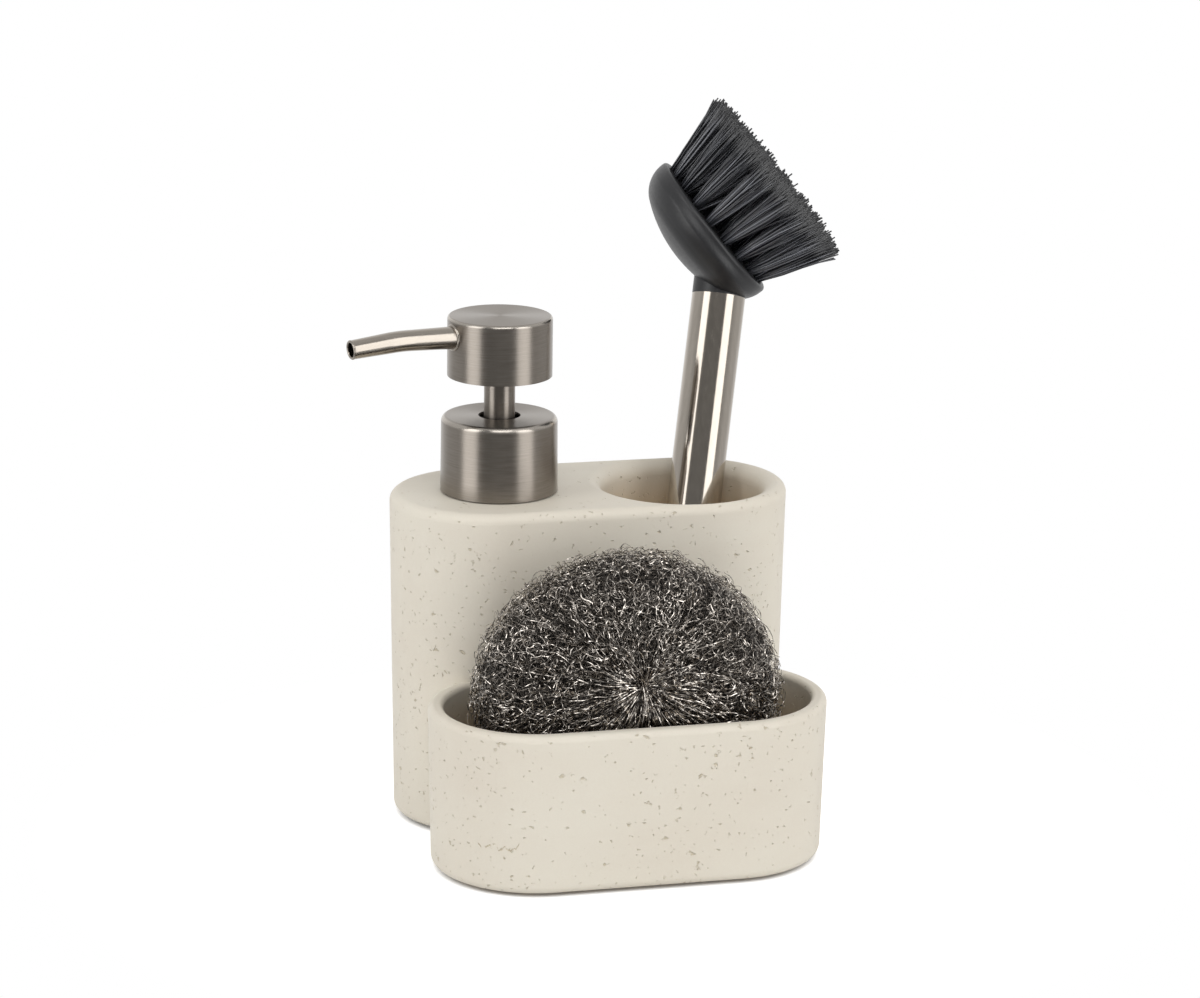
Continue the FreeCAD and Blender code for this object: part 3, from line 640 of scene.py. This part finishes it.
# Bristles: straight black nylon, cut to length, folded over a plate and driven into each hole.
# The tufts stand apart at the face, flare until they meet, and end in one rough level.
bristle_seed = 11
filaments_per_tuft = 24
filament_radius = 0.24 * mm
filament_rings = 4
filament_sides = 4
root_sink = 2.0 * mm
root_spread = 1.25 * mm
tip_spread = 4.0 * mm
tip_rough = 0.75 * mm
tip_short_share = 0.2
stray_share = 0.08
stray_spread = 3.6 * mm
nylon_black = (48, 49, 54)
nylon_glint_grey = (132, 134, 141)
nylon_tip_shade = (36, 36, 38)
nylon_gloss = 0.9
nylon_roughness = (0.28, 0.4)
nylon_grain_scale = 300.0
black_share = 0.62
tip_shade = 7.0 * mm
tip_level = max(float(np.max(points @ np.array(face_axis))) for points in tuft_solids)


def make_nylon():
    """Black filaments, some of them painted light grey along their sides as painted glints, and darker
    towards their tips as painted shade.
    """
    material, tree, shader = new_finish("black nylon", {"Specular IOR Level": nylon_gloss})
    lot = put(tree, "NewGeometry", {}).outputs["Random Per Island"]
    # Painted glints: a share of the filaments are coloured light grey to stand in for their highlights.
    tone = mixed(tree, ramp(tree, lot, black_share, 1.0), srgb(nylon_black), srgb(nylon_glint_grey))
    along = vector_of(tree, "DOT_PRODUCT", object_place(tree), face_axis)
    # Painted shade: the colour darkens over the last few millimetres towards the tips.
    tip_shaded = ramp(tree, along, tip_level - tip_shade, tip_level)
    tree.links.new(mixed(tree, tip_shaded, tone, srgb(nylon_tip_shade)), shader.inputs["Base Color"])
    grain = put(tree, "Group", {"Scale": nylon_grain_scale}, node_tree=moulded_grain).outputs["Grain"]
    tree.links.new(ramp(tree, grain, *noise_span, *nylon_roughness), shader.inputs["Roughness"])
    return material


def make_bristles():
    """Filaments that follow the place and lean of each tuft's solid."""
    rng = random.Random(bristle_seed)
    points, faces = [], []
    for tuft in tuft_solids:
        heart = Vector(tuft.mean(axis=0))
        plate = Vector(min(tuft_plates, key=lambda spot: (Vector(spot) - heart).length))
        lean = (heart - plate).normalized()
        side = lean.orthogonal().normalized()
        other = lean.cross(side)
        foot = plate + lean * root_sink
        reach = (tip_level - foot.dot(face_axis)) / lean.dot(face_axis)
        for _ in range(filaments_per_tuft):
            bearing = rng.uniform(0, full_turn)
            out = math.sqrt(rng.random())
            across = side * math.cos(bearing) + other * math.sin(bearing)
            tip_away = out * tip_spread
            if rng.random() < stray_share:
                tip_away += rng.uniform(-1, 1) * stray_spread
            length = reach + rng.gauss(-tip_short_share, 1) * tip_rough
            bow = (side * rng.uniform(-1, 1) + other * rng.uniform(-1, 1)) * tip_rough
            first = len(points)
            for ring in range(filament_rings):
                share = ring / (filament_rings - 1)
                centre = foot + across * (out * root_spread * (1 - share) + tip_away * share)
                centre += lean * (length * share) + bow * (4 * share * (1 - share))
                for corner in range(filament_sides):
                    turn = corner * full_turn / filament_sides
                    arm = side * math.cos(turn) + other * math.sin(turn)
                    points.append(centre + arm * filament_radius)
            for ring in range(filament_rings - 1):
                base = first + ring * filament_sides
                for corner in range(filament_sides):
                    low = base + corner
                    next_low = base + (corner + 1) % filament_sides
                    faces.append((low, next_low, next_low + filament_sides, low + filament_sides))
            last = first + (filament_rings - 1) * filament_sides
            faces.append(tuple(first + corner for corner in reversed(range(filament_sides))))
            faces.append(tuple(last + corner for corner in range(filament_sides)))
    bristles = new_piece("bristle_filaments", points, faces, make_nylon(), "brush", True)
    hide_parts("bristle_tufts")


make_bristles()

# Scourer: fine flat steel wire knitted into a loose tube, turned in on itself and tied through the middle,
# so that its wires run out from a knot on each face into a tangle of small loops. It stands on its edge.
wire_glint_light = (240, 232, 222)
wire_dark = (116, 110, 104)
core_light = (112, 106, 100)
# Painted shade: the near-black of the body inside the bun.
core_shade_dark = (24, 24, 24)
wire_seed = 7
wire_width = 0.22 * mm
wire_thickness = 0.09 * mm
wire_most_turn = 6.3
points_per_twist = 4
least_twists = 3
wire_glint_scale = 850.0
wire_glint_span = (0.47, 0.61)
wire_roughness = (0.08, 0.22)
bun_roundness = 0.8
bun_outline_steps = 2000
bun_climb_nudge = 0.002
bun_turn_nudge = 0.01
bun_front = (0.02, 0.53)
bun_back = (0.53, 0.98)
rib_wires = 230
rib_step = 0.9 * mm
rib_sway = 1.3 * mm
rib_sway_waves = 18
rib_lift_share = 0.5
rib_tied_share = 0.05
rib_opening_share = 0.5
rib_turn_drift = 0.06
rib_turn_waves = 7
rib_depths = (0.95, 1.01)
rib_depth_drift = 0.02
rib_depth_waves = 12
front_loops = 3000
back_loops = 2200
points_per_loop = 11
loop_places = 4000
loop_least = 1.0 * mm
loop_most = 2.5 * mm
loop_depths = (0.92, 0.995)
loop_tilt = 0.9
loop_sweeps = (3.2, 6.2)
loop_stretches = (0.9, 1.6)
knot_wires = 110
points_per_knot_wire = 16
knot_rise = 9.0 * mm
knot_dent_share = 0.1
knot_width_share = 0.13
knot_scatter = 0.7 * mm
knot_overshoot = 0.15
knot_reaches = (0.03, 0.26)
knot_depths = (0.96, 1.0)
knot_depth_drift = 0.02
knot_depth_waves = 5
knot_turn_drift = 0.5
knot_turn_waves = 4
pole_gap = 0.004
core_seed = 3
core_rows = 96
core_columns = 90
core_depth = 0.94
core_lump = 0.012
core_wire_scales = (700.0, 1000.0, 1400.0)
core_wire_span = (0.045, 0.012)
core_roughness = (0.6, 0.25)
core_relief = 0.9
core_wire_height = 0.3 * mm
bun_low, bun_high = (np.array(corner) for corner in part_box("scourer"))
bun_centre = (bun_low + bun_high) / 2
bun_half = (bun_high - bun_low) / 2


def bun_points(turn, climb, depth):
    """Points of the bun: turn goes round the knot, climb from the front knot at 0 to the back one at 1."""
    out = np.sin(np.pi * climb) ** bun_roundness
    face = np.sign(np.cos(np.pi * climb)) * np.abs(np.cos(np.pi * climb)) ** bun_roundness
    dent = 1 - knot_dent_share * np.exp(-(out / knot_width_share) ** 2)
    spread = np.stack((out * np.cos(turn), -face * dent, out * np.sin(turn)), axis=-1)
    points = bun_centre + bun_half * spread * np.expand_dims(depth, -1)
    points[..., 2] += knot_rise * np.clip(1 - out, 0, 1)
    return points


def even_climb(count, start, end):
    """Climb values that are evenly spaced along the bun's outline, and the outline's length."""
    fine = np.linspace(start, end, bun_outline_steps)
    line = bun_points(np.zeros_like(fine), fine, np.ones_like(fine))
    length = np.concatenate(([0.0], np.cumsum(np.linalg.norm(np.diff(line, axis=0), axis=1))))
    return np.interp(np.linspace(0, length[-1], count), length, fine), length[-1]


def drifting(rng, rows, count, knots):
    """Smooth random values between -1 and 1 along each row."""
    marks = rng.uniform(-1, 1, (rows, knots))
    at = np.linspace(0, knots - 1, count)
    low = np.clip(at.astype(int), 0, knots - 2)
    share = at - low
    share = share * share * (3 - 2 * share)
    return marks[:, low] * (1 - share) + marks[:, low + 1] * share


def unit(vectors):
    """Vectors brought to length 1."""
    return vectors / np.maximum(np.linalg.norm(vectors, axis=-1, keepdims=True), 1e-9)


def bun_axes(turn, climb, depth):
    """Place on the bun with the directions along a rib, round the knot and outwards."""
    base = bun_points(turn, climb, depth)
    along = unit(bun_points(turn, climb + bun_climb_nudge, depth) - base)
    aside = unit(bun_points(turn + bun_turn_nudge, climb, depth) - base)
    outward = unit(np.cross(along, aside))
    outward = outward * np.sign(np.sum(outward * (base - bun_centre), axis=-1, keepdims=True))
    return base, along, aside, outward


def rib_paths(rng, rows, start, end):
    """Wires that run from a knot to the rim in shallow waves."""
    length = even_climb(2, start, end)[1]
    count = int(length / rib_step)
    climb = np.tile(even_climb(count, start, end)[0], (rows, 1))
    turn = np.tile(rng.uniform(0, 2 * np.pi, (rows, 1)), (1, count))
    turn = turn + drifting(rng, rows, count, rib_turn_waves) * rib_turn_drift
    depth = rng.uniform(*rib_depths, (rows, 1))
    depth = depth + drifting(rng, rows, count, rib_depth_waves) * rib_depth_drift
    base, _, aside, outward = bun_axes(turn, climb, depth)
    opened = np.clip((np.sin(np.pi * climb) - rib_tied_share) / rib_opening_share, 0.0, 1.0)
    sway = drifting(rng, rows, count, rib_sway_waves) * rib_sway * opened
    lift = drifting(rng, rows, count, rib_sway_waves) * rib_sway * rib_lift_share * opened
    return base + aside * sway[..., None] + outward * lift[..., None]


def loop_paths(rng, rows, start, end):
    """Open loops of the knit, spread evenly over the bun between two climbs."""
    climb = even_climb(loop_places, start, end)[0]
    chance = np.sin(np.pi * climb) ** bun_roundness
    climb = rng.choice(climb, (rows, 1), p=chance / chance.sum())
    turn = rng.uniform(0, 2 * np.pi, (rows, 1))
    base, along, aside, outward = bun_axes(turn, climb, rng.uniform(*loop_depths, (rows, 1)))
    bearing = rng.uniform(0, 2 * np.pi, (rows, 1, 1))
    tilt = rng.uniform(-loop_tilt, loop_tilt, (rows, 1, 1))
    first = along * np.cos(bearing) + aside * np.sin(bearing)
    second = (aside * np.cos(bearing) - along * np.sin(bearing)) * np.cos(tilt) + outward * np.sin(tilt)
    sweep = rng.uniform(*loop_sweeps, (rows, 1)) * np.linspace(0, 1, points_per_loop)[None, :]
    size = rng.uniform(loop_least, loop_most, (rows, 1, 1))
    stretch = rng.uniform(*loop_stretches, (rows, 1, 1))
    return base + (first * stretch * np.cos(sweep)[..., None] + second * np.sin(sweep)[..., None]) * size


def knot_paths(rng, rows, face):
    """Wires drawn tight that cross the knot on one face and run out from it."""
    count = points_per_knot_wire
    share = np.linspace(-knot_overshoot, 1, count)[None, :]
    climb = pole_gap + rng.uniform(*knot_reaches, (rows, 1)) * np.abs(share)
    sway = drifting(rng, rows, count, knot_turn_waves) * knot_turn_drift * np.abs(share)
    turn = rng.uniform(0, 2 * np.pi, (rows, 1)) + np.pi * (share < 0) + sway
    depth = rng.uniform(*knot_depths, (rows, 1))
    depth = depth + drifting(rng, rows, count, knot_depth_waves) * knot_depth_drift
    tied = bun_points(turn, climb if face < 0 else 1 - climb, depth)
    return tied + rng.normal(0, knot_scatter, (rows, 1, 3))


def wire_piece(name, rng, wires, material):
    """Flat three-sided wires along rows of points, with a slow twist."""
    wires[..., 2] = np.maximum(wires[..., 2], bun_low[2])
    rows, count, _ = wires.shape
    along = unit(np.gradient(wires, axis=1))
    across = unit(np.cross(along, unit(wires - bun_centre)))
    above = np.cross(across, along)
    twist = drifting(rng, rows, count, max(least_twists, count // points_per_twist))
    twist = (twist + rng.uniform(0, wire_most_turn, (rows, 1)))[..., None]
    side = across * np.cos(twist) + above * np.sin(twist)
    top = above * np.cos(twist) - across * np.sin(twist)
    half = side * wire_width / 2
    corners = np.stack((wires + half, wires - half, wires + top * wire_thickness), axis=2)
    index = np.arange(rows * count * 3).reshape(rows, count, 3)
    sides = [np.stack((index[:, :-1, a], index[:, :-1, b], index[:, 1:, b], index[:, 1:, a]), axis=-1)
             for a, b in ((0, 1), (1, 2), (2, 0))]
    faces = np.concatenate([quads.reshape(-1, 4) for quads in sides]).tolist()
    faces += index[:, 0, ::-1].tolist() + index[:, -1, :].tolist()
    new_piece(name, corners.reshape(-1, 3).tolist(), faces, material, "scourer", False)


def make_wire_steel():
    """Steel wire with painted glints: short bright patches along each wire over a darker tone."""
    material, tree, shader = new_finish("scourer wire", {"Metallic": 1.0})
    glint_patch = speckle(tree, object_place(tree), wire_glint_scale)
    # Painted glints: the light colour lies on short patches along the wires.
    tone = mixed(tree, ramp(tree, glint_patch, *wire_glint_span), srgb(wire_dark), srgb(wire_glint_light))
    tree.links.new(tone, shader.inputs["Base Color"])
    tree.links.new(ramp(tree, glint_patch, *noise_span, *wire_roughness), shader.inputs["Roughness"])
    return material


def make_depth_shade():
    """Finish of the tangle below the loops: fine crossing wires drawn over near-black painted shade."""
    material, tree, shader = new_finish("scourer depth shade", {"Metallic": 1.0})
    place = object_place(tree)
    lines = []
    for scale in core_wire_scales:
        off = work_out(tree, "SUBTRACT", speckle(tree, place, scale, 1.0), 0.5)
        lines.append(ramp(tree, work_out(tree, "ABSOLUTE", off), *core_wire_span))
    wire = work_out(tree, "MAXIMUM", lines[0], work_out(tree, "MAXIMUM", lines[1], lines[2]))
    tree.links.new(mixed(tree, wire, srgb(core_shade_dark), srgb(core_light)), shader.inputs["Base Color"])
    tree.links.new(ramp(tree, wire, 0.0, 1.0, *core_roughness), shader.inputs["Roughness"])
    emboss(tree, shader, wire, core_relief, core_wire_height)
    return material


def make_core():
    """Tangle inside the bun: a lumpy closed body, a dark sheet of painted shade, that keeps the gaps between
    the wires dark.
    """
    rng = np.random.default_rng(core_seed)
    rows, count = core_rows, core_columns
    climb = np.tile(even_climb(count, pole_gap, 1 - pole_gap)[0], (rows, 1))
    turn = np.tile(np.arange(rows)[:, None] * 2 * np.pi / rows, (1, count))
    points = bun_points(turn, climb, core_depth + core_lump * rng.uniform(-1, 1, (rows, count)))
    index = np.arange(rows * count).reshape(rows, count)
    around = np.roll(index, -1, axis=0)
    quads = np.stack((index[:, :-1], index[:, 1:], around[:, 1:], around[:, :-1]), axis=-1)
    faces = quads.reshape(-1, 4).tolist() + [index[:, 0].tolist(), index[::-1, -1].tolist()]
    places = points.reshape(-1, 3).tolist()
    core = new_piece("scourer_shade_core", places, faces, make_depth_shade(), "scourer", False)
    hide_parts("scourer")


wire_steel = make_wire_steel()
wire_rng = np.random.default_rng(wire_seed)
make_core()
for side_name, knot_face, face_span, loops in (("front", -1, bun_front, front_loops),
                                               ("back", 1, bun_back, back_loops)):
    ribs = rib_paths(wire_rng, rib_wires, *face_span)
    wire_piece("scourer_" + side_name + "_ribs", wire_rng, ribs, wire_steel)
    knit = loop_paths(wire_rng, loops, *face_span)
    wire_piece("scourer_" + side_name + "_loops", wire_rng, knit, wire_steel)
    tied = knot_paths(wire_rng, knot_wires, knot_face)
    wire_piece("scourer_" + side_name + "_knot", wire_rng, tied, wire_steel)

# Studio: a white floor that keeps the shadow, a white surround that is darker towards the camera's side,
# two tall soft lamps beside the camera, whose strips show in the steel, and a fill lamp above the camera.
view_azimuth = math.radians(-14.12)
view_elevation = math.radians(15.374)
view_roll = math.radians(0.77)
view_distance = 1254.9 * mm
view_target = Vector((0.0, 0.0, 90.6 * mm))
view_lens = 126.16
view_sensor = 36.0
view_nearest = 0.05
view_shift = (0.00954, 0.0119)
lamp_distance = 1.6
lamp_width = 0.9
lamp_height = 2.6
lamp_middle = 0.75
lamp_power = 16.5
left_angle = math.radians(-58.0)
right_angle = math.radians(54.0)
fill_angle = math.radians(8.0)
fill_distance = 1.3
fill_rise = 1.65
fill_size = 1.2
fill_power = 10.0
plain_white = (1.0, 1.0, 1.0, 1.0)
front_level = 0.22
side_gain = 0.42
side_span = (0.75, -0.1)
back_gain = 0.36
back_span = (-0.5, -0.9)
floor_white = (240, 240, 240)
floor_roughness = 0.9
floor_seen_white = (236, 236, 236)
floor_size = 6.0
floor_glow = 0.6
floor_glow_span = (0.1, 0.5)
floor_contact = 5.5 * mm
floor_fade = (0.1, 0.17)
floor_middle = Vector((0.0, -26.0 * mm, 0.0))

view_right = Vector((math.cos(view_azimuth), math.sin(view_azimuth), 0.0))
view_back = Vector((math.sin(view_azimuth) * math.cos(view_elevation),
                    -math.cos(view_azimuth) * math.cos(view_elevation), math.sin(view_elevation)))
view_up = view_back.cross(view_right)
level_back = Vector((view_back.x, view_back.y, 0.0)).normalized()


def make_floor():
    """A plain floor that glows white to the camera, apart from the shadow close to the object, which is
    partly real and partly painted where ambient occlusion dims the glow.
    """
    constants = {"Base Color": srgb(floor_white), "Roughness": floor_roughness}
    material, tree, shader = new_finish("floor white", constants)
    seen = put(tree, "LightPath", {}).outputs["Is Camera Ray"]
    away = vector_of(tree, "LENGTH", vector_of(tree, "SUBTRACT", object_place(tree), floor_middle))
    far = work_out(tree, "MULTIPLY", seen, ramp(tree, away, *floor_fade))
    # Painted contact shadow: the glow fades where ambient occlusion finds the floor hidden, on top of the
    # floor's real shadow.
    open_share = put(tree, "AmbientOcclusion", {"Distance": floor_contact}, samples=8).outputs["AO"]
    glow_share = ramp(tree, open_share, *floor_glow_span, 0.0, floor_glow)
    glow = put(tree, "Emission", {"Color": plain_white, "Strength": glow_share}).outputs[0]
    matt = put(tree, "BsdfDiffuse", {"Color": srgb(floor_seen_white)}).outputs[0]
    lit = put(tree, "AddShader", {0: matt, 1: glow}).outputs[0]
    near = put(tree, "MixShader", {0: seen, 1: shader.outputs[0], 2: lit}).outputs[0]
    plain = put(tree, "Emission", {"Color": plain_white, "Strength": 1.0}).outputs[0]
    whole = put(tree, "MixShader", {0: far, 1: near, 2: plain})
    tree.links.new(whole.outputs[0], tree.nodes["Material Output"].inputs["Surface"])
    half = floor_size / 2
    corners = [(-half, -half, 0), (half, -half, 0), (half, half, 0), (-half, half, 0)]
    mesh = bpy.data.meshes.new("floor")
    mesh.from_pydata(corners, [], [(0, 1, 2, 3)])
    mesh.materials.append(material)
    floor = bpy.data.objects.new("floor", mesh)
    floor.visible_glossy = False
    bpy.context.scene.collection.objects.link(floor)


def make_surround():
    """White behind the object and to the camera, and darker where the steel looks past the camera."""
    world = bpy.data.worlds.new("surround")
    world.use_nodes = True
    tree = world.node_tree
    background = tree.nodes["Background"]
    heading = put(tree, "TexCoord", {}).outputs["Generated"]
    towards = vector_of(tree, "DOT_PRODUCT", heading, level_back)
    level = work_out(tree, "ADD", ramp(tree, towards, *side_span, front_level, front_level + side_gain),
                     ramp(tree, towards, *back_span, 0.0, back_gain))
    seen = put(tree, "LightPath", {}).outputs["Is Camera Ray"]
    tree.links.new(work_out(tree, "MAXIMUM", level, seen), background.inputs["Strength"])
    background.inputs["Color"].default_value = plain_white
    bpy.context.scene.world = world


def make_lamp(name, angle, distance, rise, width, height, power, tilted):
    """A soft lamp at an angle from the camera, upright or tilted down to the object's foot."""
    light = bpy.data.lights.new(name, "AREA")
    light.shape = "RECTANGLE"
    light.size = width
    light.size_y = height
    light.energy = power
    lamp = bpy.data.objects.new(name, light)
    outward = Matrix.Rotation(angle, 3, "Z") @ level_back
    lamp.location = outward * distance + Vector((0.0, 0.0, rise))
    facing = Vector((lamp.location.x, lamp.location.y, lamp.location.z if tilted else 0.0))
    lamp.rotation_euler = facing.to_track_quat("Z", "Y").to_euler()
    bpy.context.scene.collection.objects.link(lamp)


def make_camera():
    """The camera at the photograph's place, with its small roll and shift."""
    lens = bpy.data.cameras.new("camera")
    lens.lens = view_lens
    lens.sensor_width = view_sensor
    lens.shift_x, lens.shift_y = view_shift
    lens.clip_start = view_nearest
    right = view_right * math.cos(view_roll) + view_up * math.sin(view_roll)
    up = view_up * math.cos(view_roll) - view_right * math.sin(view_roll)
    camera = bpy.data.objects.new("camera", lens)
    turn = Matrix((right, up, view_back)).transposed()
    camera.matrix_world = Matrix.Translation(view_target + view_back * view_distance) @ turn.to_4x4()
    bpy.context.scene.collection.objects.link(camera)
    bpy.context.scene.camera = camera


make_floor()
make_surround()
for lamp_name, lamp_angle in (("left lamp", left_angle), ("right lamp", right_angle)):
    make_lamp(lamp_name, lamp_angle, lamp_distance, lamp_middle, lamp_width, lamp_height, lamp_power, False)
make_lamp("fill", fill_angle, fill_distance, fill_rise, fill_size, fill_size, fill_power, True)
make_camera()
bpy.context.scene.view_settings.view_transform = "Standard"
